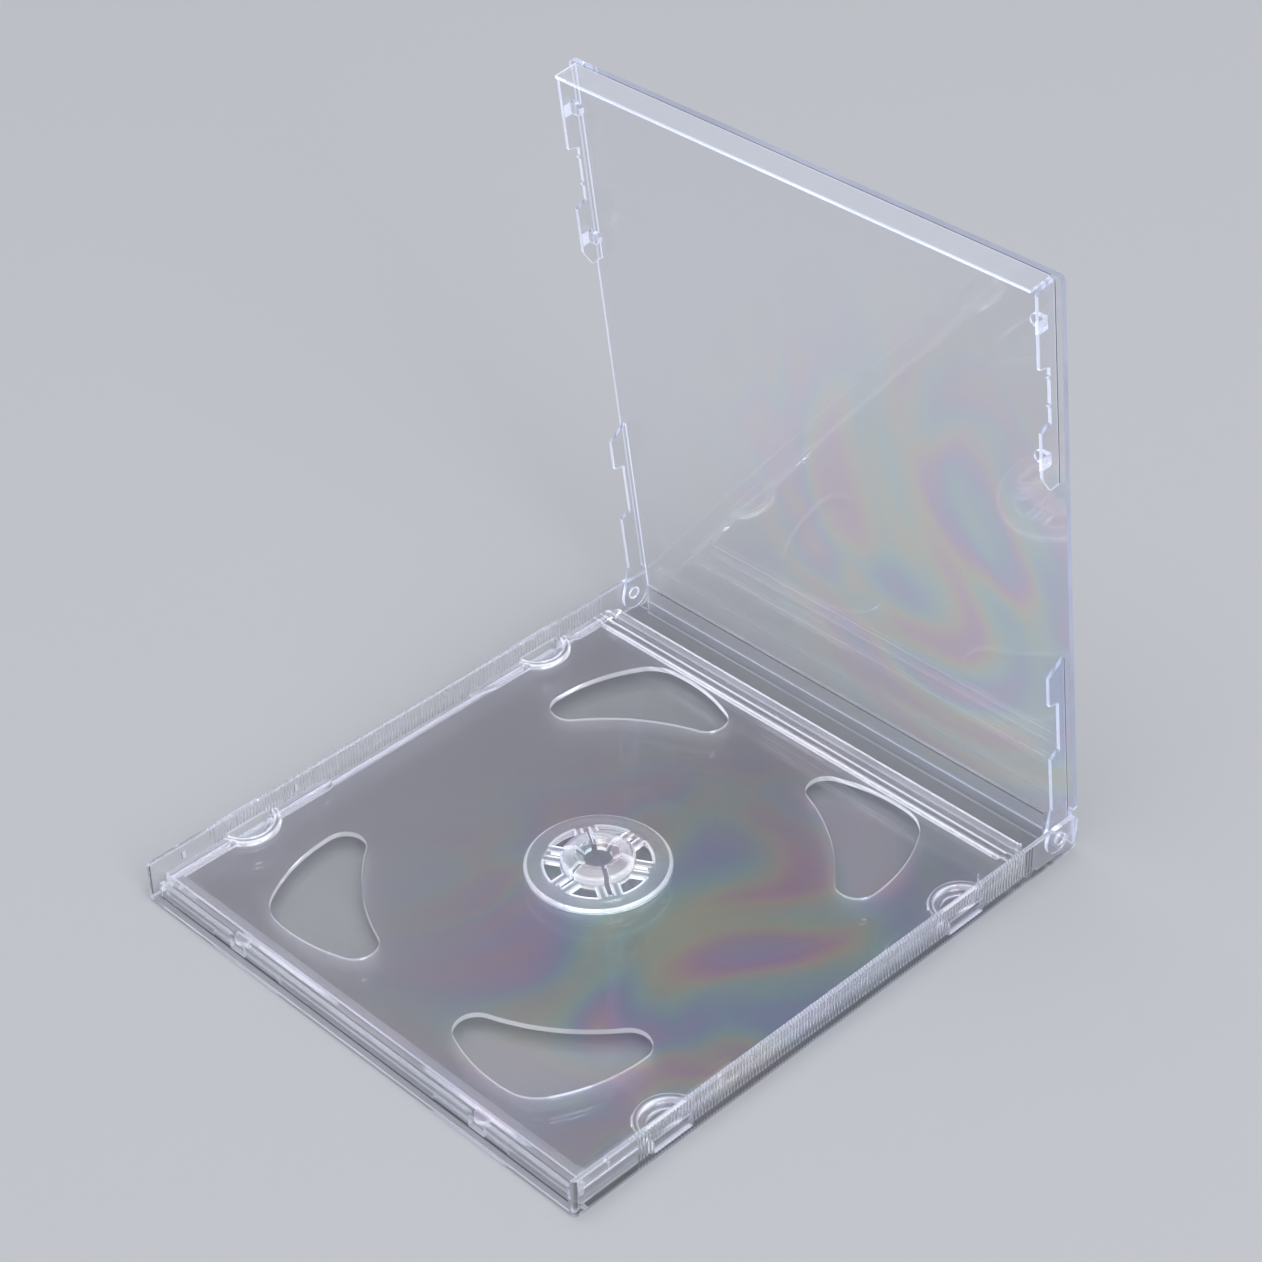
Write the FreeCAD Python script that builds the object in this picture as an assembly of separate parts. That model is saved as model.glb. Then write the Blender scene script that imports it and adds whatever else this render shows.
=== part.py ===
import FreeCAD, Part
import math
import os

# Clear jewel case for one disc, in millimetres.
# X runs along the spine, Y from the opening edge to the spine, Z up.
# The origin is the middle of the base's flat underside.
# Three mouldings: the base, the disc tray clipped into it and the hinged lid, standing open.

# Closed case
CASE_WIDTH = 125.0
CASE_DEPTH = 142.0
CASE_HEIGHT = 10.4
OPEN_ANGLE = 83.0
CORNER_RADIUS = 1.2

# Base
FLOOR = 1.2
SIDE_WALL = 1.1
WALL_TO_LID = 0.4
FOOT_STRIP = 0.8
FRONT_WALL = 1.1
FRONT_WALL_TOP = 5.0
FRONT_WALL_END_GAP = 1.9
FRONT_NOTCH_WIDTH = 4.4
FRONT_NOTCH_SILL = 0.5
FRONT_NOTCH_X = 35.0
FRONT_FOOT = 0.6
FRONT_FOOT_RISE = 1.0
FRONT_FOOT_WIDTH = 20.3
FRONT_FOOT_X = 32.8
SPINE_WALL = 1.1
SPINE_WALL_END_GAP = 4.25
SPINE_SETBACK = 3.4
SPINE_BELOW_LID = 0.6
SPINE_ROUND = 0.35
RAIL_HEIGHT = 0.5
RAIL_WIDTH = 2.0
EAR_ROUND = 1.0
GRIP_PITCH = 0.85
GRIP_DEPTH = 0.18
GRIP_SMOOTH_FRONT = 16.0
GRIP_SMOOTH_REAR = 13.0
CLICK_BUMP = 0.2
CLICK_BUMP_RADIUS = 0.9
CLICK_BUMP_FROM_FRONT = (9.0, 38.6)
CLICK_BUMP_DROP = 2.2

# Clips that hold the tray down
CLIP_FROM_ENDS = (25.2, 34.4)
CLIP_WINDOW_WIDTH = 10.0
CLIP_WINDOW_SILL = 0.3
CLIP_TAB_RADIUS = 5.2
CLIP_TAB = 0.8
CLIP_GAP = 0.1
CLIP_SIDE_GAP = 0.6

# Hinge
HINGE_INSET = 5.0
HINGE_HEIGHT = 5.2
PIN_DIAMETER = 2.86
PIN_CLEARANCE = 0.07
PIN_SHORT = 0.1
PIN_CHAMFER = 0.3
ARM_RADIUS = 3.6
ARM_BACK_ANGLE = 60.0

# Lid
LID_PANEL = 1.2
LID_INSET = 0.1
LID_CLEARANCE = 0.3
LID_NOTCH_Y = 10.0
LIP = 0.8
LIP_DEPTH = 5.8
LIP_END_GAP = 0.1
FLANGE = 0.8
FLANGE_DEPTH = 4.8
FLANGE_RECESS = 2.7
FLANGE_RECESS_SLOPE = 0.8
FLANGE_RECESS_REACH = 1.2
RECESS_NUB = 0.45
RECESS_NUB_Y = (-4.1, 2.35)
FLANGE_GAP_FROM_ENDS = (47.0, 51.4)
FLANGE_FRONT_RUN = 3.9
FLANGE_FRONT_RISE = 2.1
FLANGE_REAR_RUN = 2.4
FLANGE_FRONT_END = 1.0
BOOKLET_TAB_FROM_FRONT = (9.0, 40.0)
BOOKLET_TAB_WIDTH = 2.8
BOOKLET_TAB_REACH = 2.9
BOOKLET_TAB = 1.0
BOOKLET_TAB_ROOT = 0.15
BOOKLET_SPACE = 2.0

# Disc tray
TRAY_TO_FLANGE = 0.3
TRAY_FRONT_GAP = 1.0
TRAY_REAR_GAP = 7.6
TRAY_PLATE = 1.2
TRAY_PLATE_TOP = 4.9
TRAY_SKIRT = 1.2
TRAY_SIDE_SKIRT = 0.6
HUB_Y = -4.4
TRAY_CORNER = (2.0, 2.8)
LEDGE_WIDTH = 2.7
LEDGE_RISE = 1.0
LEDGE_BEVEL = 0.45
LEDGE_MIDDLE_FROM_ENDS = (45.8, 56.2)
LEDGE_ROUND = 1.6
LEDGE_TAPER = 6.0
LEDGE_TIP = 0.8
LEDGE_REAR_START = 3.4
FRONT_RIM = 2.1
CLIP_RIM = 1.1
CLIP_RIM_BEVEL = 0.4
CLIP_STEP = 1.4
LUG_WIDTH = 3.6
LUG_REACH = 1.9
STRIP_PITCH = 1.95
STRIP_RIDGE = 0.9
STRIP_RIDGE_COUNT = 4
STRIP_VALLEY = 0.5
WINDOW_INNER_RADIUS = 47.8
WINDOW_SIDE_RADIUS = 37.2
WINDOW_X_REACH = 46.0
WINDOW_X_REACH_AT = 32.4
WINDOW_Y_REACH = 56.4
WINDOW_Y_REACH_AT = 29.8
WINDOW_CORNER = 4.6
WINDOW_FAR_CORNER = 9.0

# Hub
SEAT_RADIUS = 15.3
SEAT_RISE = 0.8
SEAT_RIM = 0.8
SEAT_RIM_DROP = 0.6
HUB_FINGERS = 6
HUB_ROOT_RADIUS = 11.6
HUB_WEB = 0.9
HUB_WINDOW_RADIUS = 11.0
HUB_WINDOW_ROUND = 0.3
HUB_SLOT = 1.2
HUB_SLOT_RADIUS = 10.6
LEG_WIDTH = 1.9
DISC_HOLE = 15.0
DISC_HOLE_GAP = 0.1
DISC_THICKNESS = 1.2
FINGER_WALL = 0.9
FINGER_RISE = 2.7
FINGER_BUMP = 0.25
CREST_RADIUS = 5.6
CREST = 0.9
FUNNEL_DROP = 1.3
HUB_OPENING_RADIUS = 3.0

# Places worked out from the sizes above
HALF_WIDTH = CASE_WIDTH / 2
FRONT = -CASE_DEPTH / 2
REAR = CASE_DEPTH / 2
LID_INSIDE = CASE_HEIGHT - LID_PANEL
WALL_TOP = LID_INSIDE - WALL_TO_LID
WALL_INSIDE = HALF_WIDTH - SIDE_WALL
FLANGE_OUTSIDE = WALL_INSIDE - LID_CLEARANCE
FLANGE_INSIDE = FLANGE_OUTSIDE - FLANGE
FLANGE_EDGE = LID_INSIDE - FLANGE_DEPTH
LIP_HALF = FLANGE_INSIDE - LIP_END_GAP
TRAY_HALF = FLANGE_INSIDE - TRAY_TO_FLANGE
FRONT_WALL_HALF = WALL_INSIDE - FRONT_WALL_END_GAP
SPINE_WALL_HALF = WALL_INSIDE - SPINE_WALL_END_GAP
FRONT_WALL_OUTSIDE = FRONT + LIP + LID_CLEARANCE
FRONT_WALL_INSIDE = FRONT_WALL_OUTSIDE + FRONT_WALL
SPINE_OUTSIDE = REAR - SPINE_SETBACK
SPINE_INSIDE = SPINE_OUTSIDE - SPINE_WALL
HINGE_Y = REAR - HINGE_INSET
CLICK_BUMP_Y = [FRONT + place for place in CLICK_BUMP_FROM_FRONT]
CLIP_Y = (FRONT + CLIP_FROM_ENDS[0], REAR - CLIP_FROM_ENDS[1])
FLANGE_GAP = (FRONT + FLANGE_GAP_FROM_ENDS[0], REAR - FLANGE_GAP_FROM_ENDS[1])
BOOKLET_TAB_Y = [FRONT + place for place in BOOKLET_TAB_FROM_FRONT]
LEDGE_MIDDLE = (FRONT + LEDGE_MIDDLE_FROM_ENDS[0], REAR - LEDGE_MIDDLE_FROM_ENDS[1])
TRAY_FRONT = FRONT_WALL_INSIDE + TRAY_FRONT_GAP
TRAY_REAR = SPINE_INSIDE - TRAY_REAR_GAP
TRAY_UNDER = TRAY_PLATE_TOP - TRAY_PLATE
LEDGE_TOP = TRAY_PLATE_TOP + LEDGE_RISE
CLIP_STEP_TOP = TRAY_PLATE_TOP - CLIP_STEP + TRAY_PLATE - CLIP_GAP
CLIP_TAB_UNDER = CLIP_STEP_TOP + CLIP_GAP
CLIP_RIM_INNER = CLIP_TAB_RADIUS + CLIP_SIDE_GAP
CLIP_RIM_OUTER = CLIP_RIM_INNER + CLIP_RIM
CLIP_OPENING = CLIP_RIM_INNER - CLIP_STEP
SEAT_TOP = TRAY_PLATE_TOP + SEAT_RISE
HERE = FreeCAD.Vector(0, 0, 0)
ALONG_X = FreeCAD.Vector(1, 0, 0)
ALONG_Y = FreeCAD.Vector(0, 1, 0)
ALONG_Z = FreeCAD.Vector(0, 0, 1)
NEAR = 1e-6


def block(x0, x1, y0, y1, z0, z1):
    """A box between two corners."""
    return Part.makeBox(x1 - x0, y1 - y0, z1 - z0, FreeCAD.Vector(x0, y0, z0))


def post(radius, x, y, z0, z1):
    """An upright round post."""
    return Part.makeCylinder(radius, z1 - z0, FreeCAD.Vector(x, y, z0))


def rod(radius, x0, x1, y, z):
    """A round rod along X."""
    return Part.makeCylinder(radius, x1 - x0, FreeCAD.Vector(x0, y, z), ALONG_X)


def face_of(points, place):
    """A flat face. A point is a pair, and an arc is a pair of such pairs: its middle and its end."""
    corners = points + points[:1]
    here = corners[0]
    edges = []
    for step in corners[1:]:
        if isinstance(step[0], tuple):
            edges.append(Part.Arc(place(*here), place(*step[0]), place(*step[1])).toShape())
            here = step[1]
        elif step != here:
            edges.append(Part.makeLine(place(*here), place(*step)))
            here = step
    return Part.Face(Part.Wire(edges))


def along_x(points, x0, x1):
    """An outline of (y, z) points carried from x0 to x1."""
    face = face_of(points, lambda y, z: FreeCAD.Vector(x0, y, z))
    return face.extrude(FreeCAD.Vector(x1 - x0, 0, 0))


def along_y(points, y0, y1):
    """An outline of (x, z) points carried from y0 to y1."""
    face = face_of(points, lambda x, z: FreeCAD.Vector(x, y0, z))
    return face.extrude(FreeCAD.Vector(0, y1 - y0, 0))


def upright(points, z0, z1):
    """An outline of (x, y) points carried from z0 to z1."""
    face = face_of(points, lambda x, y: FreeCAD.Vector(x, y, z0))
    return face.extrude(FreeCAD.Vector(0, 0, z1 - z0))


def turned(points):
    """An outline of (radius, z) points turned about the Z axis."""
    face = face_of(points, lambda r, z: FreeCAD.Vector(r, 0, z))
    return face.revolve(HERE, ALONG_Z, 360)


def both_sides(shapes):
    """Each shape with its mirror image on the other side of the case."""
    return shapes + [shape.mirror(HERE, ALONG_X) for shape in shapes]


def joined(shapes):
    """One solid from shapes that touch."""
    return shapes[0].fuse(shapes[1:]).removeSplitter()


def round_edges(shape, radius, chosen):
    """Rounds the edges that the test picks by their middle and direction."""
    edges = []
    for edge in shape.Edges:
        first, last = edge.Vertexes[0].Point, edge.Vertexes[-1].Point
        if chosen((first + last) * 0.5, last - first):
            edges.append(edge)
    return shape.makeFillet(radius, edges)


def is_upright(way):
    return abs(way.z) > NEAR and abs(way.x) + abs(way.y) < NEAR


def grip_outline():
    """The right-hand wall from above, with the fine upright grooves of its grip on the outside."""
    points = [(WALL_INSIDE, FRONT), (HALF_WIDTH, FRONT)]
    start = FRONT + GRIP_SMOOTH_FRONT
    count = int((REAR - GRIP_SMOOTH_REAR - start) / GRIP_PITCH)
    for number in range(count):
        y = start + number * GRIP_PITCH
        points += [(HALF_WIDTH, y), (HALF_WIDTH - GRIP_DEPTH, y + GRIP_PITCH / 4),
                   (HALF_WIDTH, y + GRIP_PITCH / 2)]
    return points + [(HALF_WIDTH, REAR), (WALL_INSIDE, REAR)]


def click_bump(y):
    """A low round nub on the wall's inner side, which the lid's flange clicks past."""
    middle = WALL_TOP - CLICK_BUMP_DROP
    bump = post(CLICK_BUMP_RADIUS, WALL_INSIDE + CLICK_BUMP_RADIUS - CLICK_BUMP, y,
                middle - CLICK_BUMP_RADIUS, middle + CLICK_BUMP_RADIUS)
    return bump.common(block(0, WALL_INSIDE + SIDE_WALL / 2, FRONT, REAR, 0, WALL_TOP))


def side_wall():
    """The right-hand wall, with its foot strip, its hinge ear and the clip windows."""
    wall = along_x([(FRONT, 0), (REAR - EAR_ROUND, 0), (REAR, EAR_ROUND), (REAR, WALL_TOP - EAR_ROUND),
                    (REAR - EAR_ROUND, WALL_TOP), (FRONT, WALL_TOP)], WALL_INSIDE, HALF_WIDTH)
    wall = wall.common(upright(grip_outline(), 0, WALL_TOP))
    arm_start = HINGE_Y - 2 * ARM_RADIUS
    foot = WALL_INSIDE - FOOT_STRIP
    strip = along_y([(foot, FLOOR), (WALL_INSIDE, FLOOR), (WALL_INSIDE, FLOOR + FOOT_STRIP)],
                    FRONT_WALL_INSIDE, arm_start)
    wall = joined([wall, strip] + [click_bump(y) for y in CLICK_BUMP_Y])
    half = CLIP_WINDOW_WIDTH / 2
    for y in CLIP_Y:
        wall = wall.cut(block(WALL_INSIDE - FOOT_STRIP, HALF_WIDTH, y - half, y + half,
                              FLOOR + CLIP_WINDOW_SILL, CLIP_TAB_UNDER))
    return wall.cut(rod(PIN_DIAMETER / 2 + PIN_CLEARANCE, WALL_INSIDE, HALF_WIDTH, HINGE_Y, HINGE_HEIGHT))


def clip_tabs():
    """Half-round tabs on the right-hand wall, over the windows that let the mould out."""
    tabs = []
    inside = block(0, WALL_INSIDE, FRONT, REAR, 0, CASE_HEIGHT)
    for y in CLIP_Y:
        tab = post(CLIP_TAB_RADIUS, WALL_INSIDE, y, CLIP_TAB_UNDER, CLIP_TAB_UNDER + CLIP_TAB)
        tabs.append(tab.common(inside))
    return tabs


def front_wall():
    """The low wall that the lid's lip covers, notched for the tray's lugs, with two feet behind it."""
    wall = block(-FRONT_WALL_HALF, FRONT_WALL_HALF, FRONT_WALL_OUTSIDE, FRONT_WALL_INSIDE,
                 FLOOR, FRONT_WALL_TOP)
    half = FRONT_NOTCH_WIDTH / 2
    for x in (-FRONT_NOTCH_X, FRONT_NOTCH_X):
        wall = wall.cut(block(x - half, x + half, FRONT, FRONT_WALL_INSIDE,
                              FLOOR + FRONT_NOTCH_SILL, WALL_TOP))
    half = FRONT_FOOT_WIDTH / 2
    feet = [block(FRONT_FOOT_X - half, FRONT_FOOT_X + half,
                  FRONT_WALL_INSIDE, FRONT_WALL_INSIDE + FRONT_FOOT, FLOOR, FLOOR + FRONT_FOOT_RISE)]
    return joined([wall] + both_sides(feet))


def spine_wall():
    top = LID_INSIDE - SPINE_BELOW_LID
    wall = block(-SPINE_WALL_HALF, SPINE_WALL_HALF, SPINE_INSIDE, SPINE_OUTSIDE, FLOOR, top)
    return round_edges(wall, SPINE_ROUND, lambda middle, way: middle.z > top - NEAR and abs(way.y) < NEAR)


def floor_rails():
    """Two low rails across the floor, one on each side of the tray's rear skirt."""
    inner = TRAY_REAR - TRAY_SKIRT - CLIP_GAP
    outer = TRAY_REAR + RAIL_WIDTH
    top = FLOOR + RAIL_HEIGHT
    rails = []
    for y in (inner - RAIL_WIDTH, outer):
        rails.append(along_x([(y, FLOOR), (y + RAIL_WIDTH, FLOOR), (y + RAIL_WIDTH - RAIL_HEIGHT, top),
                              (y + RAIL_HEIGHT, top)], -SPINE_WALL_HALF, SPINE_WALL_HALF))
    return rails


def base():
    floor = block(-WALL_INSIDE, WALL_INSIDE, FRONT, SPINE_OUTSIDE, 0, FLOOR)
    sides = both_sides([side_wall()] + clip_tabs())
    shape = joined([floor, front_wall(), spine_wall()] + floor_rails() + sides)
    outline = block(-HALF_WIDTH, HALF_WIDTH, FRONT, REAR, 0, CASE_HEIGHT)
    outline = round_edges(outline, CORNER_RADIUS, lambda middle, way: is_upright(way) and middle.y < 0)
    return shape.common(outline)


def window_quarter():
    """One of the tray's four windows, seen from the hub: three bulged sides and rounded corners."""
    bulge = WINDOW_SIDE_RADIUS
    x_side = post(bulge, WINDOW_X_REACH - bulge, WINDOW_X_REACH_AT, 0, CASE_HEIGHT)
    y_side = post(bulge, WINDOW_Y_REACH_AT, WINDOW_Y_REACH - bulge, 0, CASE_HEIGHT)
    window = x_side.common(y_side).cut(post(WINDOW_INNER_RADIUS, 0, 0, 0, CASE_HEIGHT))
    near = WINDOW_INNER_RADIUS * math.sqrt(0.5)
    window = round_edges(window, WINDOW_FAR_CORNER,
                         lambda middle, way: is_upright(way) and min(middle.x, middle.y) > near)
    return round_edges(window, WINDOW_CORNER,
                       lambda middle, way: is_upright(way) and min(middle.x, middle.y) < near)


def tray_windows():
    quarter = window_quarter()
    windows = both_sides([quarter, quarter.mirror(HERE, ALONG_Y)])
    for window in windows:
        window.translate(FreeCAD.Vector(0, HUB_Y, 0))
    return windows


def ledge(points):
    """A raised ledge on the plate's right-hand side, with its inner top edges bevelled."""
    body = upright(points, TRAY_PLATE_TOP, LEDGE_TOP)
    rim = []
    for edge in body.Edges:
        box = edge.BoundBox
        if box.ZMin > LEDGE_TOP - NEAR and box.XMin < TRAY_HALF - LEDGE_TIP and box.YLength > NEAR:
            rim.append(edge)
    return body.makeChamfer(LEDGE_BEVEL, rim)


def ledges():
    """The four ledges of the right-hand side, which the two clip rims part."""
    inner, outer = TRAY_HALF - LEDGE_WIDTH, TRAY_HALF
    front_clip, rear_clip = CLIP_Y
    middle_end, middle_start = LEDGE_MIDDLE
    corner = LEDGE_ROUND * (1 - math.sqrt(0.5))
    front_end = front_clip - CLIP_RIM_INNER
    taper_start = middle_start + LEDGE_TAPER
    taper_end = rear_clip - CLIP_RIM_INNER
    rear_start = rear_clip + CLIP_RIM_INNER
    return [
        ledge([(outer, TRAY_FRONT), (inner, TRAY_FRONT), (inner, front_end), (outer, front_end)]),
        ledge([(outer, front_clip + CLIP_RIM_INNER), (inner, front_clip + CLIP_RIM_INNER),
               (inner, middle_end - LEDGE_ROUND),
               ((inner + corner, middle_end - corner), (inner + LEDGE_ROUND, middle_end)),
               (outer, middle_end)]),
        ledge([(outer, middle_start), (outer - LEDGE_TIP, middle_start), (inner, taper_start),
               (inner, taper_end), (outer, taper_end)]),
        ledge([(outer, rear_start), (inner, rear_start + LEDGE_REAR_START), (inner, TRAY_REAR),
               (outer, TRAY_REAR)])]


def clip_rim(y):
    """The raised half ring round a clip tab, with the lower step that the tab holds down."""
    middle = FreeCAD.Vector(WALL_INSIDE, y, TRAY_PLATE_TOP)
    rim = Part.makeCone(CLIP_RIM_OUTER + CLIP_RIM_BEVEL, CLIP_RIM_OUTER, LEDGE_RISE, middle)
    step = post(CLIP_RIM_INNER, WALL_INSIDE, y, CLIP_STEP_TOP - TRAY_PLATE, CLIP_STEP_TOP)
    hollow = post(CLIP_RIM_INNER, WALL_INSIDE, y, 0, CASE_HEIGHT)
    opening = post(CLIP_OPENING, WALL_INSIDE, y, 0, CASE_HEIGHT)
    side = block(0, TRAY_HALF, FRONT, REAR, 0, CASE_HEIGHT)
    return [rim.cut(hollow).common(side), step.cut(opening).common(side)]


def tray_sides():
    """Ledges, side skirt and clip rims of the right-hand side."""
    skirt = block(TRAY_HALF - TRAY_SKIRT, TRAY_HALF, TRAY_FRONT, TRAY_REAR,
                  TRAY_UNDER - TRAY_SIDE_SKIRT, TRAY_UNDER)
    rims = []
    for y in CLIP_Y:
        skirt = skirt.cut(post(CLIP_RIM_INNER, WALL_INSIDE, y, 0, CASE_HEIGHT))
        rims += clip_rim(y)
    return ledges() + [skirt] + rims


def front_lug(x):
    """A tongue on the tray's front edge that hooks into a notch of the front wall."""
    half = LUG_WIDTH / 2
    front = TRAY_FRONT - LUG_REACH
    back = TRAY_FRONT + TRAY_SKIRT
    return upright([(x - half, back), (x - half, TRAY_FRONT), ((x, front), (x + half, TRAY_FRONT)),
                    (x + half, back)], TRAY_UNDER, TRAY_PLATE_TOP)


def spine_strip():
    """The ridged strip along the spine side, with its last ridge on the tray's edge."""
    ridge = STRIP_RIDGE / 2
    valley = LEDGE_TOP - STRIP_VALLEY
    first = TRAY_REAR - ridge - (STRIP_RIDGE_COUNT - 1) * STRIP_PITCH
    points = [(first - ridge, TRAY_PLATE_TOP)]
    for number in range(STRIP_RIDGE_COUNT):
        crest = first + number * STRIP_PITCH
        points += [(crest - ridge, valley), (crest, LEDGE_TOP), (crest + ridge, valley)]
    points.append((TRAY_REAR, TRAY_PLATE_TOP))
    half = TRAY_HALF - LEDGE_BEVEL
    return along_x(points, -half, half)


def hub():
    """The disc seat, and six sprung fingers that grip the disc's hole, cut from one turned form."""
    grip = DISC_HOLE / 2 - DISC_HOLE_GAP
    top = SEAT_TOP + FINGER_RISE
    under = SEAT_TOP - HUB_WEB
    shoulder = SEAT_TOP + DISC_THICKNESS
    form = turned([
        (HUB_OPENING_RADIUS, top - FUNNEL_DROP - FINGER_WALL),
        (CREST_RADIUS - CREST, top - FINGER_WALL),
        (grip - FINGER_WALL, shoulder),
        (grip - FINGER_WALL, under),
        (HUB_ROOT_RADIUS, under),
        (HUB_ROOT_RADIUS, TRAY_UNDER),
        (SEAT_RADIUS, TRAY_UNDER),
        (SEAT_RADIUS, SEAT_TOP - SEAT_RIM_DROP),
        (SEAT_RADIUS - SEAT_RIM, SEAT_TOP),
        (grip, SEAT_TOP),
        (grip, shoulder),
        (grip + FINGER_BUMP, shoulder + FINGER_BUMP),
        (grip - FINGER_BUMP, shoulder + FINGER_WALL),
        (CREST_RADIUS, top),
        (CREST_RADIUS - CREST, top),
        (HUB_OPENING_RADIUS, top - FUNNEL_DROP)])
    for number in range(HUB_FINGERS):
        angle = 360.0 / HUB_FINGERS * number
        form = form.cut([hub_slot(angle + 180.0 / HUB_FINGERS), hub_window(angle)])
    form.translate(FreeCAD.Vector(0, HUB_Y, 0))
    return form


def hub_slot(angle):
    """A cut from the middle into the seat that parts two fingers."""
    half = HUB_SLOT / 2
    slot = block(0, HUB_SLOT_RADIUS - half, -half, half, 0, CASE_HEIGHT)
    slot = slot.fuse(post(half, HUB_SLOT_RADIUS - half, 0, 0, CASE_HEIGHT))
    slot.rotate(HERE, ALONG_Z, angle)
    return slot


def hub_window(angle):
    """The opening outside a finger, which leaves it on two legs of even width beside the slots."""
    spread = math.radians(180.0 / HUB_FINGERS)
    apex = (HUB_SLOT / 2 + LEG_WIDTH) / math.sin(spread)
    side = math.tan(spread) * (HUB_WINDOW_RADIUS - apex)
    wedge = upright([(apex, 0), (HUB_WINDOW_RADIUS, -side), (HUB_WINDOW_RADIUS, side)], 0, CASE_HEIGHT)
    finger = post(DISC_HOLE / 2 + FINGER_BUMP, 0, 0, 0, CASE_HEIGHT)
    ring = post(HUB_WINDOW_RADIUS, 0, 0, 0, CASE_HEIGHT).cut(finger)
    window = round_edges(wedge.common(ring), HUB_WINDOW_ROUND, lambda middle, way: is_upright(way))
    window.rotate(HERE, ALONG_Z, angle)
    return window


def disc_tray():
    plate = block(-TRAY_HALF, TRAY_HALF, TRAY_FRONT, TRAY_REAR, TRAY_UNDER, TRAY_PLATE_TOP)
    rim_end = TRAY_FRONT + FRONT_RIM
    front_rim = along_x([(TRAY_FRONT, TRAY_PLATE_TOP), (TRAY_FRONT, LEDGE_TOP), (rim_end, LEDGE_TOP),
                         (rim_end + LEDGE_BEVEL, TRAY_PLATE_TOP)],
                        LEDGE_BEVEL - TRAY_HALF, TRAY_HALF - LEDGE_BEVEL)
    skirts = [block(-FRONT_WALL_HALF, FRONT_WALL_HALF, TRAY_FRONT, TRAY_FRONT + TRAY_SKIRT,
                    FLOOR, TRAY_UNDER),
              block(-SPINE_WALL_HALF, SPINE_WALL_HALF, TRAY_REAR - TRAY_SKIRT, TRAY_REAR,
                    FLOOR, TRAY_UNDER)]
    lugs = [front_lug(x) for x in (-FRONT_NOTCH_X, FRONT_NOTCH_X)]
    across, along = TRAY_CORNER
    corner = upright([(TRAY_HALF - across, TRAY_REAR), (TRAY_HALF, TRAY_REAR - along),
                      (TRAY_HALF, TRAY_REAR)], 0, CASE_HEIGHT)
    clips = [post(CLIP_RIM_INNER, WALL_INSIDE, y, 0, CASE_HEIGHT) for y in CLIP_Y]
    cuts = tray_windows() + [post(HUB_ROOT_RADIUS, 0, HUB_Y, 0, CASE_HEIGHT)] + both_sides([corner] + clips)
    plate = joined([plate, spine_strip()]).cut(cuts)
    shape = joined([plate, front_rim, hub()] + skirts + lugs + both_sides(tray_sides()))
    return shape.cut(both_sides([corner]))


def lid_panel():
    half = HALF_WIDTH - LID_INSET
    step = REAR - LID_NOTCH_Y
    narrow = FLANGE_OUTSIDE
    panel = upright([(-half, FRONT), (half, FRONT), (half, step), (narrow, step), (narrow, REAR),
                     (-narrow, REAR), (-narrow, step), (-half, step)], LID_INSIDE, CASE_HEIGHT)
    return round_edges(panel, CORNER_RADIUS,
                       lambda middle, way: is_upright(way) and middle.y < FRONT + NEAR)


def recess(y):
    """The stretch of a flange's free edge that passes over a clip tab."""
    half = CLIP_TAB_RADIUS + FLANGE_RECESS_REACH
    deep = FLANGE_EDGE + FLANGE_RECESS
    return [(y - half - FLANGE_RECESS_SLOPE, FLANGE_EDGE), (y - half, deep), (y + half, deep),
            (y + half + FLANGE_RECESS_SLOPE, FLANGE_EDGE)]


def front_flange():
    """The right-hand flange beside the lip, as seen from the side."""
    start = FRONT + LIP
    gap = FLANGE_GAP[0]
    points = [(start, LID_INSIDE), (start, FLANGE_EDGE + FLANGE_FRONT_END),
              (start + FLANGE_FRONT_END, FLANGE_EDGE)]
    points += recess(CLIP_Y[0])
    points += [(gap - FLANGE_FRONT_RUN, FLANGE_EDGE), (gap, FLANGE_EDGE + FLANGE_FRONT_RISE),
               (gap, LID_INSIDE)]
    nubs = [rod(RECESS_NUB, FLANGE_INSIDE, FLANGE_OUTSIDE, CLIP_Y[0] + y, FLANGE_EDGE + FLANGE_RECESS)
            for y in RECESS_NUB_Y]
    return joined([along_x(points, FLANGE_INSIDE, FLANGE_OUTSIDE)] + nubs)


def hinge_arm():
    """The right-hand rear flange, which deepens into the arm round the hinge pin."""
    gap = FLANGE_GAP[1]
    neck = HINGE_Y - 2 * ARM_RADIUS - FLANGE
    back = math.radians(ARM_BACK_ANGLE)
    reach = math.hypot(HINGE_Y - neck, HINGE_HEIGHT - FLANGE_EDGE)
    slope = math.atan2(FLANGE_EDGE - HINGE_HEIGHT, neck - HINGE_Y)
    touch = slope + math.acos(ARM_RADIUS / reach)

    def on_arm(turn):
        return (HINGE_Y + ARM_RADIUS * math.cos(turn), HINGE_HEIGHT + ARM_RADIUS * math.sin(turn))

    points = [(gap, LID_INSIDE), (gap + FLANGE_REAR_RUN, FLANGE_EDGE)] + recess(CLIP_Y[1])
    points += [(neck, FLANGE_EDGE), on_arm(touch), (on_arm((touch + back) / 2), on_arm(back)),
               (on_arm(back)[0], LID_INSIDE)]
    arm = along_x(points, FLANGE_INSIDE, FLANGE_OUTSIDE)
    pin_end = HALF_WIDTH - PIN_SHORT
    pin = rod(PIN_DIAMETER / 2, FLANGE_OUTSIDE, pin_end, HINGE_Y, HINGE_HEIGHT)
    rim = [edge for edge in pin.Edges if edge.Closed and edge.BoundBox.XMin > pin_end - NEAR]
    return joined([arm, pin.makeChamfer(PIN_CHAMFER, rim)])


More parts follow.
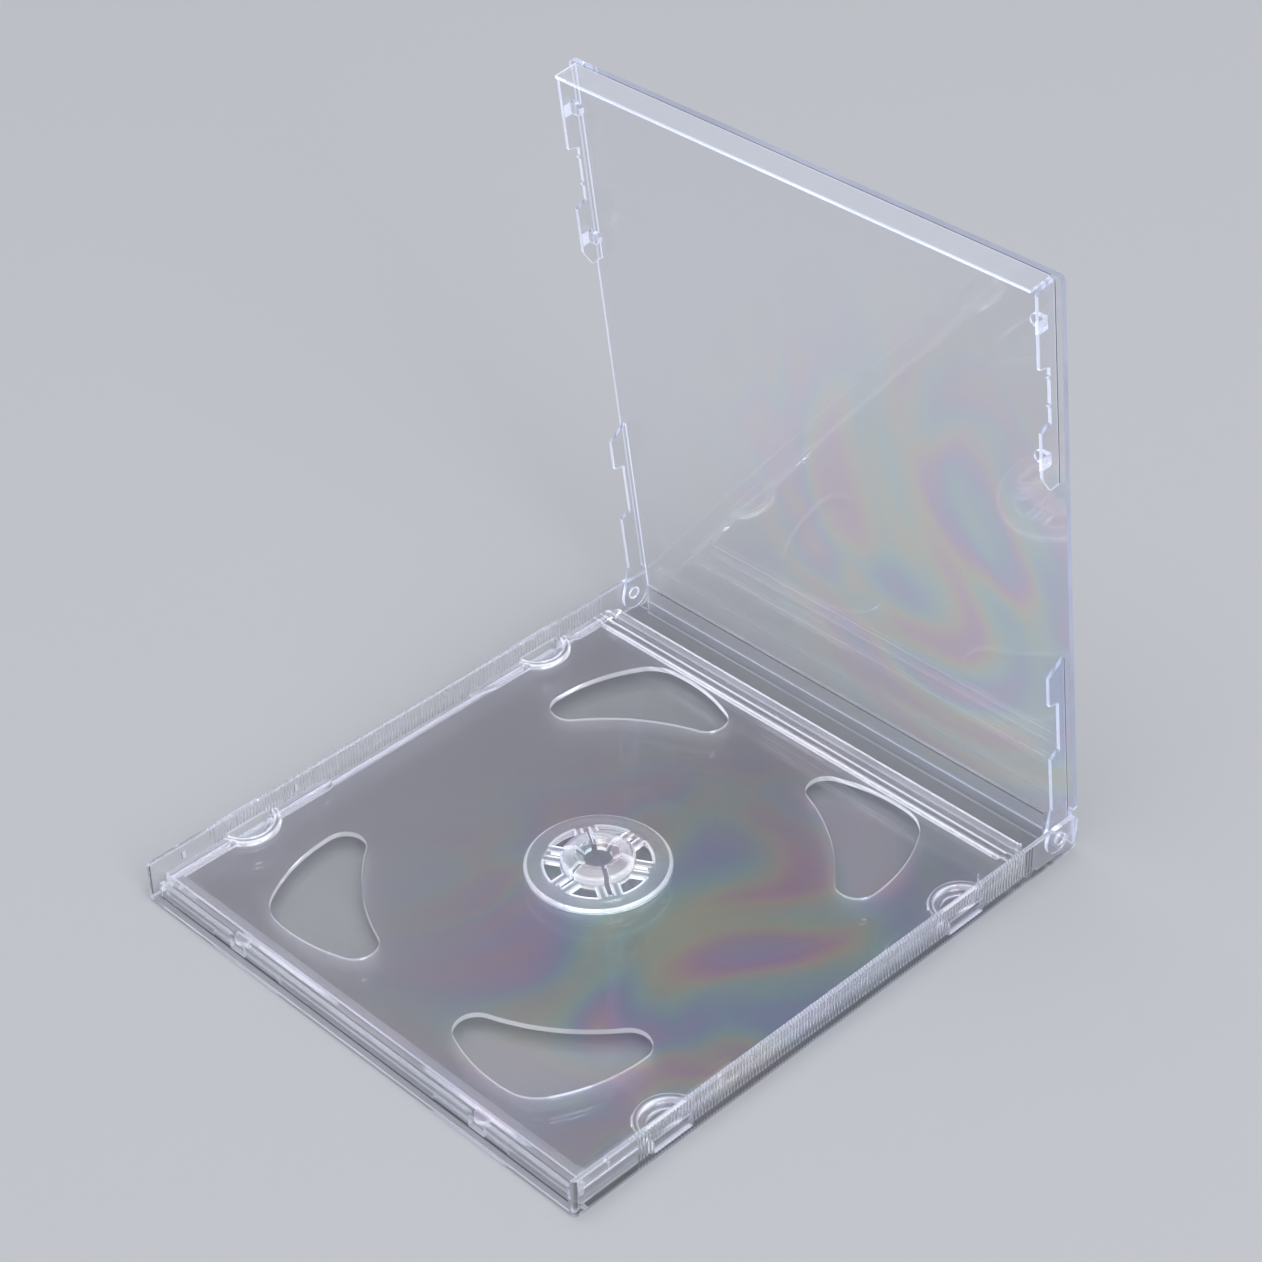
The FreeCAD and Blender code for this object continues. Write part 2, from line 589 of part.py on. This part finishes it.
def booklet_tab(y):
    """A round-ended tongue on the right-hand flange that holds the booklet, with its root on the flange."""
    half = BOOKLET_TAB_WIDTH / 2
    top = LID_INSIDE - BOOKLET_SPACE
    middle = FLANGE_INSIDE - BOOKLET_TAB_REACH + half
    tongue = block(middle, FLANGE_INSIDE, y - half, y + half, top - BOOKLET_TAB, top)
    end = post(half, middle, y, top - BOOKLET_TAB, top)
    root = block(FLANGE_INSIDE - BOOKLET_TAB_ROOT, FLANGE_INSIDE, y - half, y + half, FLANGE_EDGE, top)
    return joined([tongue, end, root])


def lid():
    lip = block(-LIP_HALF, LIP_HALF, FRONT, FRONT + LIP, LID_INSIDE - LIP_DEPTH, LID_INSIDE)
    sides = both_sides([front_flange(), hinge_arm()] + [booklet_tab(y) for y in BOOKLET_TAB_Y])
    shape = joined([lid_panel(), lip] + sides)
    shape.rotate(FreeCAD.Vector(0, HINGE_Y, HINGE_HEIGHT), ALONG_X, -OPEN_ANGLE)
    return shape


def main():
    os.makedirs("parts", exist_ok=True)
    for name, shape in (("base", base()), ("disc_tray", disc_tray()), ("lid", lid())):
        box = shape.BoundBox
        print(name, len(shape.Solids), shape.isValid(), round(shape.Volume, 1),
              [round(value, 2) for value in (box.XMin, box.XMax, box.YMin, box.YMax, box.ZMin, box.ZMax)])
        shape.exportStep("parts/" + name + ".step")


main()
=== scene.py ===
"""An open jewel case of clear polystyrene on a pale floor: its finishes, floor, light and camera."""

import math

import bpy
from mathutils import Matrix, Vector

MM = 0.001
BLACK = (0.0, 0.0, 0.0)

# The photograph's frame and the camera that stood at its viewing angle, in millimetres and radians
IMAGE_SIDE = 1262
FOCAL_PIXELS = 3148.5
SENSOR_WIDTH = 36.0
CAMERA_TURN = Vector((2.0811, 0.8567, -0.4584))
CAMERA_SHIFT = Vector((-3.386, 49.18, 641.70))
CAMERA_RANGE = (0.05, 20.0)

# Floor and studio, in metres
FLOOR_COLOUR = (0.52, 0.53, 0.56)
FLOOR_ROUGHNESS = 0.7
FLOOR_HALF = 4.0
FLOOR_LEVEL = -0.2 * MM
WORLD_COLOUR = (0.80, 0.82, 0.86)
WORLD_STRENGTH = 0.5
KEY_LAMP = {"place": (0.2, -0.2, 3.2), "target": (0.0, 0.03, 0.03), "size": (3.4, 3.4), "power": 68.0}
FILL_LAMP = {"place": (2.5, -0.55, 1.7), "target": (0.0, 0.03, 0.05), "size": (1.25, 2.0), "power": 25.0}

# Clear polystyrene
POLYSTYRENE_IOR = 1.59
CLARITY = 0.93
DEPTH_TINT = (0.72, 0.76, 1.0)
DEPTH_DENSITY = 14.0
# Painted glow: the edges give off light of their own, standing in for the light that clear plastic gathers
# at its edges
EDGE_GLOW_STRENGTH = 0.5
EDGE_GLOW_LEAST = 0.6
EDGE_GLOW_CLOUD = 0.8
SMOOTH_ROUGHNESS = 0.015
CLOUD_ROUGHNESS = 0.02
BUMP_STRENGTH = 0.25
WAVE_HEIGHT = 0.25
RAINBOW_REPEATS = 5.0
RAINBOW = [
    (0.0, (0.88, 0.77, 1.0)), (0.2, (0.73, 0.82, 1.0)), (0.4, (0.78, 0.98, 0.96)),
    (0.6, (1.0, 0.96, 0.80)), (0.8, (1.0, 0.79, 0.89)), (1.0, (0.88, 0.77, 1.0))]

# Where it is matt
MATT_TINT = (0.93, 0.94, 0.97)
MATT_TINT_SHARE = 0.6
MATT_ROUGHNESS = 0.28
# painted glow that the matt ring gives off, standing in for its sheen
MATT_GLOW = 0.12
GRAIN_HEIGHT = 0.03

# Noise: scale per millimetre, detail and distortion
CLOUD = (0.05, 2.0, 0.0)
WAVES = (0.035, 1.0, 0.0)
GRAIN = (1.6, 3.0, 0.0)
FLOW = (0.014, 2.0, 1.6)

# Places on the closed case, in millimetres and degrees
HINGE = (0.0, 66.0, 5.2)
OPEN_ANGLE = 83.0
WALL_INSIDE = 61.4
CLIP_Y = (-45.8, 36.6)
HUB_Y = -4.4
HUB_FINGERS = 6
STRIP_START = 51.625
STRIP_PITCH = 1.95

# Masks: the place where each is 0, and the place where it is 1
BROAD_FACE = (0.3, 0.97)
BASE_SIDE_WALLS = (61.25, 61.35)
BASE_END_WALLS = (66.2, 66.3)
ABOVE_BASE_FLOOR = (1.22, 1.3)
LID_FLANGES = (60.2, 60.3)
LID_LIP = (-70.0, -70.1)
UNDER_LID_PANEL = (9.15, 9.05)
TRAY_SIDE_SKIRTS = (58.6, 58.7)
TRAY_END_SKIRTS = (60.0, 60.1)
UNDER_TRAY_PLATE = (3.75, 3.65)
ABOVE_TRAY_PLATE = (4.8, 5.1)
WITHIN_TRAY_SIDES = (56.0, 55.5)
WITHIN_TRAY_ENDS = (58.0, 57.0)
ON_STRIP = (STRIP_START, STRIP_START + 0.2)
OFF_HUB = (16.0, 17.0)
ABOVE_SEAT_FOOT = (5.3, 5.6)
OUTSIDE_FINGERS = (7.5, 7.8)
ALONG_SLOT = (11.1, 11.0)
ALONG_LEG = (11.4, 11.3)
BESIDE_LEG = (2.2, 2.3)

# Bands: the middle of each, and half its width
MATT_RING = (11.5, 7.75)
SLOT_OUTLINE = (0.85, 0.3)
LEG_OUTLINE = (2.25, 0.3)
WINDOW_ARC = (11.25, 0.3)
SEAT_EDGE = (14.8, 0.4)
CLIP_RIM_EDGES = ((5.95, 0.25), (6.85, 0.25))
STRIP_CREST = (0.5, 0.14)

# How brightly each of them glows: painted highlights standing in for the light they catch
HUB_OUTLINE_LIGHT = 0.8
SEAT_EDGE_LIGHT = 0.6
CLIP_RIM_LIGHT = 0.5
STRIP_CREST_LIGHT = 0.45
LIP_LIGHT = 0.09
TRAY_INSIDE_LIGHT = 0.5
STRIP_DIMMING = 0.12


class Wire:
    """An output socket. Arithmetic on it adds Math nodes."""

    def __init__(self, finish, socket):
        self.finish = finish
        self.socket = socket

    def math(self, operation, other=None):
        sockets = {0: self} if other is None else {0: self, 1: other}
        return self.finish.node("ShaderNodeMath", {"operation": operation}, sockets)

    def __add__(self, other):
        return self.math("ADD", other)

    def __radd__(self, other):
        return self.math("ADD", other)

    def __sub__(self, other):
        return self.math("SUBTRACT", other)

    def __rsub__(self, other):
        return self.finish.node("ShaderNodeMath", {"operation": "SUBTRACT"}, {0: other, 1: self})

    def __mul__(self, other):
        return self.math("MULTIPLY", other)

    def __rmul__(self, other):
        return self.math("MULTIPLY", other)

    def __truediv__(self, other):
        return self.math("DIVIDE", other)

    def __pow__(self, other):
        return self.math("POWER", other)

    def __abs__(self):
        return self.math("ABSOLUTE")

    def fraction(self):
        return self.math("FRACT")

    def clamp(self):
        return self.finish.node("ShaderNodeClamp", {}, {0: self})


class Finish:
    """One material: its node tree, and a method that adds any node."""

    def __init__(self, name):
        self.material = bpy.data.materials.new(name)
        self.material.use_nodes = True
        self.tree = self.material.node_tree
        self.shader = self.tree.nodes["Principled BSDF"]
        self.output = self.tree.nodes["Material Output"]

    def node(self, kind, settings, sockets, out=0):
        """Adds a node: its settings, then its sockets by name or number. Returns one output."""
        node = self.tree.nodes.new(kind)
        for key, value in settings.items():
            if key == "stops":
                self.set_stops(node.color_ramp, value)
            else:
                setattr(node, key, value)
        self.feed(node, sockets)
        return Wire(self, node.outputs[out])

    def feed(self, node, sockets):
        """Links each wire to its socket, and writes each plain value into it."""
        for key, value in sockets.items():
            if isinstance(value, Wire):
                self.tree.links.new(value.socket, node.inputs[key])
            else:
                node.inputs[key].default_value = value

    def set_stops(self, ramp, stops):
        while len(ramp.elements) < len(stops):
            ramp.elements.new(1.0)
        for element, (place, colour) in zip(ramp.elements, stops):
            element.position = place
            element.color = (*colour, 1.0)

    def place(self, turn):
        """The point on the piece in millimetres, after a turn about the hinge."""
        point = self.node("ShaderNodeTexCoord", {}, {}, out=3)
        scaled = self.node("ShaderNodeVectorMath", {"operation": "SCALE"}, {0: point, "Scale": 1.0 / MM})
        return self.turned(scaled, turn, HINGE)

    def direction(self, turn):
        """The way the surface faces, after the same turn."""
        return self.turned(self.node("ShaderNodeTexCoord", {}, {}, out=1), turn, (0.0, 0.0, 0.0))

    def turned(self, vector, turn, centre):
        return self.node("ShaderNodeVectorRotate", {"rotation_type": "X_AXIS"},
                         {"Vector": vector, "Center": centre, "Angle": turn})

    def split(self, vector):
        """The x, y and z of a vector."""
        first = self.node("ShaderNodeSeparateXYZ", {}, {0: vector})
        return [Wire(self, output) for output in first.socket.node.outputs]

    def blend(self, factor, first, second):
        """A colour between two colours."""
        ends = [(*colour, 1.0) if isinstance(colour, tuple) else colour for colour in (first, second)]
        return self.node("ShaderNodeMix", {"data_type": "RGBA"}, {0: factor, 6: ends[0], 7: ends[1]}, out=2)

    def step(self, value, start, end):
        """0 before start, 1 past end, smooth between."""
        return self.node("ShaderNodeMapRange", {"interpolation_type": "SMOOTHSTEP"},
                         {0: value, 1: start, 2: end})

    def band(self, value, middle, half):
        """1 within half of the middle, fading over the last fifth."""
        return self.step(abs(value - middle), half, half * 0.8)

    def noise(self, place, scale, detail, distortion):
        return self.node("ShaderNodeTexNoise", {},
                         {"Vector": place, "Scale": scale, "Detail": detail, "Distortion": distortion})


class Moulding:
    """How one moulding differs from plain clear plastic. Each method takes a place on the closed case.

    The values here are the base's.
    """

    turn = 0.0
    tint = (0.975, 0.98, 1.0)
    edge_glow_colour = (0.78, 0.83, 1.0)
    narrow_light = 0.4
    stress_at = (30.0, 0.0, 0.0)
    stress_reach = (20.0, 80.0)
    stress_most = 0.3

    def __init__(self, finish):
        self.finish = finish

    def matt(self, x, y, z):
        """Where the mould left the surface matt."""
        return 0.0

    def relief(self, place, matt):
        """The height of the surface's slight waves."""
        return self.finish.noise(place, *WAVES) * WAVE_HEIGHT

    def bright_line(self, x, y, z):
        """Where a sharp edge on a broad face catches the light: a painted highlight that glows."""
        return 0.0

    def rim_light(self, x, y, z):
        """How much painted glow the narrow faces give, standing in for the light they gather."""
        return self.narrow_light

    def side_wall(self, x, y, z):
        """Where the plastic stands as a wall that is thin across the case."""
        return self.finish.step(abs(x), *BASE_SIDE_WALLS)

    def end_wall(self, x, y, z):
        """Where it stands as a wall that is thin along the case."""
        return self.finish.step(abs(y), *BASE_END_WALLS) * self.finish.step(z, *ABOVE_BASE_FLOOR)

    def stress(self, x, y, z):
        """The moulded stress, strongest near one point and fading away round it."""
        x0, y0, z0 = self.stress_at
        full, none = self.stress_reach
        reach = ((x - x0) ** 2.0 + (y - y0) ** 2.0 + (z - z0) ** 2.0) ** 0.5
        return self.finish.step(reach, none, full) * self.stress_most


class Lid(Moulding):
    turn = math.radians(OPEN_ANGLE)
    edge_glow_colour = (0.66, 0.73, 1.0)
    narrow_light = 0.8
    stress_at = (34.0, 20.0, 9.0)
    stress_reach = (10.0, 85.0)
    stress_most = 0.7

    def under_panel(self, z):
        return self.finish.step(z, *UNDER_LID_PANEL)

    def side_wall(self, x, y, z):
        return self.finish.step(abs(x), *LID_FLANGES) * self.under_panel(z)

    def end_wall(self, x, y, z):
        return self.finish.step(y, *LID_LIP) * self.under_panel(z)

    def bright_line(self, x, y, z):
        """The lip, whose broad face gets a faint painted glow in place of the light that makes it look
        milky.
        """
        return self.end_wall(x, y, z) * LIP_LIGHT


class DiscTray(Moulding):
    tint = (0.955, 0.945, 1.0)
    edge_glow_colour = (0.88, 0.90, 1.0)
    narrow_light = 0.3
    stress_at = (34.0, -8.0, 5.0)
    stress_reach = (15.0, 78.0)
    stress_most = 0.95

    def from_hub(self, x, y):
        return (x ** 2.0 + (y - HUB_Y) ** 2.0) ** 0.5

    def on_strip(self, y):
        return self.finish.step(y, *ON_STRIP)

    def under_plate(self, z):
        return self.finish.step(z, *UNDER_TRAY_PLATE)

    def matt(self, x, y, z):
        """The flat ring that the disc lies on."""
        return self.finish.band(self.from_hub(x, y), *MATT_RING) * self.finish.step(z, *ABOVE_SEAT_FOOT)

    def relief(self, place, matt):
        """The same waves, and a fine grain where the tray is matt."""
        return super().relief(place, matt) + self.finish.noise(place, *GRAIN) * matt * GRAIN_HEIGHT

    def rim_light(self, x, y, z):
        """More painted glow at the windows and ledges than at the hub and the outside, and less on the
        strip.
        """
        within = (self.finish.step(abs(x), *WITHIN_TRAY_SIDES)
                  * self.finish.step(abs(y - HUB_Y), *WITHIN_TRAY_ENDS))
        off_hub = self.finish.step(self.from_hub(x, y), *OFF_HUB)
        return within * off_hub * TRAY_INSIDE_LIGHT + self.narrow_light - self.on_strip(y) * STRIP_DIMMING

    def side_wall(self, x, y, z):
        return self.finish.step(abs(x), *TRAY_SIDE_SKIRTS) * self.under_plate(z)

    def end_wall(self, x, y, z):
        return self.finish.step(abs(y - HUB_Y), *TRAY_END_SKIRTS) * self.under_plate(z)

    def bright_line(self, x, y, z):
        # painted highlights on the hub, the clip rims and the strip
        lines = self.hub_lines(x, y) + self.clip_lines(x, y) + self.strip_lines(y)
        return lines * self.finish.step(z, *ABOVE_TRAY_PLATE)

    def hub_lines(self, x, y):
        """Painted highlights along the outer edge of the seat, and along the outlines of its slots and of
        the windows beside them.
        """
        finish = self.finish
        reach = self.from_hub(x, y)
        turns = (y - HUB_Y).math("ARCTAN2", x) / (2 * math.pi) * HUB_FINGERS + HUB_FINGERS
        angle = (turns.fraction() - 0.5) * (2 * math.pi / HUB_FINGERS)
        aside = abs(angle.math("SINE") * reach)
        slot = finish.band(aside, *SLOT_OUTLINE) * finish.step(reach, *ALONG_SLOT)
        leg = finish.band(aside, *LEG_OUTLINE) * finish.step(reach, *ALONG_LEG)
        arc = finish.band(reach, *WINDOW_ARC) * finish.step(aside, *BESIDE_LEG)
        outlines = (slot + leg + arc).clamp() * finish.step(reach, *OUTSIDE_FINGERS)
        return outlines * HUB_OUTLINE_LIGHT + finish.band(reach, *SEAT_EDGE) * SEAT_EDGE_LIGHT

    def clip_lines(self, x, y):
        """Painted highlights on the two edges of the raised half rings round the clip tabs."""
        lines = 0.0
        for clip_y in CLIP_Y:
            reach = ((abs(x) - WALL_INSIDE) ** 2.0 + (y - clip_y) ** 2.0) ** 0.5
            for edge in CLIP_RIM_EDGES:
                lines = self.finish.band(reach, *edge) + lines
        return lines * CLIP_RIM_LIGHT

    def strip_lines(self, y):
        """Painted highlights on the crests of the ridged strip."""
        across = ((y - STRIP_START) / STRIP_PITCH).fraction()
        return self.finish.band(across, *STRIP_CREST) * self.on_strip(y) * STRIP_CREST_LIGHT


def stress_colour(finish, place, clear, strength):
    """The soft rainbow that moulded stress gives clear polystyrene, as a faint tint."""
    flow = finish.noise(place, *FLOW) * RAINBOW_REPEATS
    rainbow = finish.node("ShaderNodeValToRGB", {"stops": RAINBOW}, {0: flow.fraction()})
    return finish.blend(strength, clear, rainbow)


def rim_of_wall(finish, moulding, place, normal):
    """1 on the narrow faces of each wall, which gather the light and get the painted glow, and 0 on its
    broad faces.
    """
    side = moulding.side_wall(*place)
    end = moulding.end_wall(*place) * (1.0 - side)
    across, along, up = [abs(part) for part in normal]
    squarely = side * across + end * along + (1.0 - side - end) * up
    return 1.0 - finish.step(squarely, *BROAD_FACE)


def clear_plastic(name, kind):
    """Clear polystyrene, as one kind of moulding has it, with a painted glow on its edges and sharp lines.
    """
    finish = Finish(name)
    moulding = kind(finish)
    place = finish.place(moulding.turn)
    spot = finish.split(place)
    matt = moulding.matt(*spot)
    cloud = finish.noise(place, *CLOUD)
    rim = rim_of_wall(finish, moulding, spot, finish.split(finish.direction(moulding.turn)))
    # painted glow: the light that edges, sharp lines and the matt ring give off, standing in for the light
    # they gather and catch
    gathered = rim * (cloud * EDGE_GLOW_CLOUD + EDGE_GLOW_LEAST) * moulding.rim_light(*spot)
    light = gathered + moulding.bright_line(*spot) + matt * MATT_GLOW
    tint = stress_colour(finish, place, moulding.tint, moulding.stress(*spot))
    finish.feed(finish.shader, {
        "Base Color": finish.blend(matt * MATT_TINT_SHARE, tint, MATT_TINT),
        "Roughness": cloud * CLOUD_ROUGHNESS + SMOOTH_ROUGHNESS + matt * MATT_ROUGHNESS,
        "Normal": finish.node("ShaderNodeBump", {}, {
            "Strength": BUMP_STRENGTH, "Distance": MM, "Height": moulding.relief(place, matt)}),
        "IOR": POLYSTYRENE_IOR,
        "Transmission Weight": CLARITY,
        # the painted glow goes out as emission; it is no lamp
        "Emission Color": finish.blend(light.clamp(), BLACK, moulding.edge_glow_colour),
        "Emission Strength": EDGE_GLOW_STRENGTH})
    depth = finish.node("ShaderNodeVolumeAbsorption", {},
                        {"Color": (*DEPTH_TINT, 1.0), "Density": DEPTH_DENSITY})
    finish.feed(finish.output, {"Volume": depth})
    return finish.material


def dress_case(nodes):
    for name, kind in (("base", Moulding), ("disc_tray", DiscTray), ("lid", Lid)):
        material = clear_plastic("clear_" + name, kind)
        for slot in nodes[name].material_slots:
            slot.material = material


def make_floor():
    mesh = bpy.data.meshes.new("floor")
    ends = (-FLOOR_HALF, FLOOR_HALF)
    corners = [(x, y, FLOOR_LEVEL) for x in ends for y in ends]
    mesh.from_pydata(corners, [], [(0, 2, 3, 1)])
    floor = bpy.data.objects.new("floor", mesh)
    bpy.context.scene.collection.objects.link(floor)
    finish = Finish("pale_floor")
    finish.feed(finish.shader, {"Base Color": (*FLOOR_COLOUR, 1.0), "Roughness": FLOOR_ROUGHNESS})
    mesh.materials.append(finish.material)


def make_lamp(name, place, target, size, power):
    data = bpy.data.lights.new(name, "AREA")
    data.shape = "RECTANGLE"
    data.size, data.size_y = size
    data.energy = power
    lamp = bpy.data.objects.new(name, data)
    lamp.location = place
    lamp.rotation_euler = (Vector(target) - Vector(place)).to_track_quat("-Z", "Y").to_euler()
    bpy.context.scene.collection.objects.link(lamp)


def light_studio():
    world = bpy.data.worlds.new("studio")
    world.use_nodes = True
    background = world.node_tree.nodes["Background"]
    background.inputs["Color"].default_value = (*WORLD_COLOUR, 1.0)
    background.inputs["Strength"].default_value = WORLD_STRENGTH
    bpy.context.scene.world = world
    make_lamp("key", **KEY_LAMP)
    make_lamp("fill", **FILL_LAMP)


def place_camera():
    data = bpy.data.cameras.new("camera")
    data.sensor_width = SENSOR_WIDTH
    data.lens = FOCAL_PIXELS / IMAGE_SIDE * SENSOR_WIDTH
    data.clip_start, data.clip_end = CAMERA_RANGE
    camera = bpy.data.objects.new("camera", data)
    to_world = Matrix.Rotation(CAMERA_TURN.length, 3, CAMERA_TURN.normalized()).transposed()
    look = to_world @ Matrix.Diagonal((1, -1, -1))
    camera.matrix_world = Matrix.Translation(-(to_world @ CAMERA_SHIFT) * MM) @ look.to_4x4()
    bpy.context.scene.collection.objects.link(camera)
    bpy.context.scene.camera = camera


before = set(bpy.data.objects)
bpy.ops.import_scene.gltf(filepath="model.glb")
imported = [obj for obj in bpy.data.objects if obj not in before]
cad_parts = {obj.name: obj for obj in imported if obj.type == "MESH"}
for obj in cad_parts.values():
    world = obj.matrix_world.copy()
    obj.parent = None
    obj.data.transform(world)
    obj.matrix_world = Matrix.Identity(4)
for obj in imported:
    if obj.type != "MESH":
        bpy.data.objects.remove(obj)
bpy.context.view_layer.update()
bpy.context.scene.view_settings.view_transform = "Standard"
dress_case(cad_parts)
make_floor()
light_studio()
place_camera()
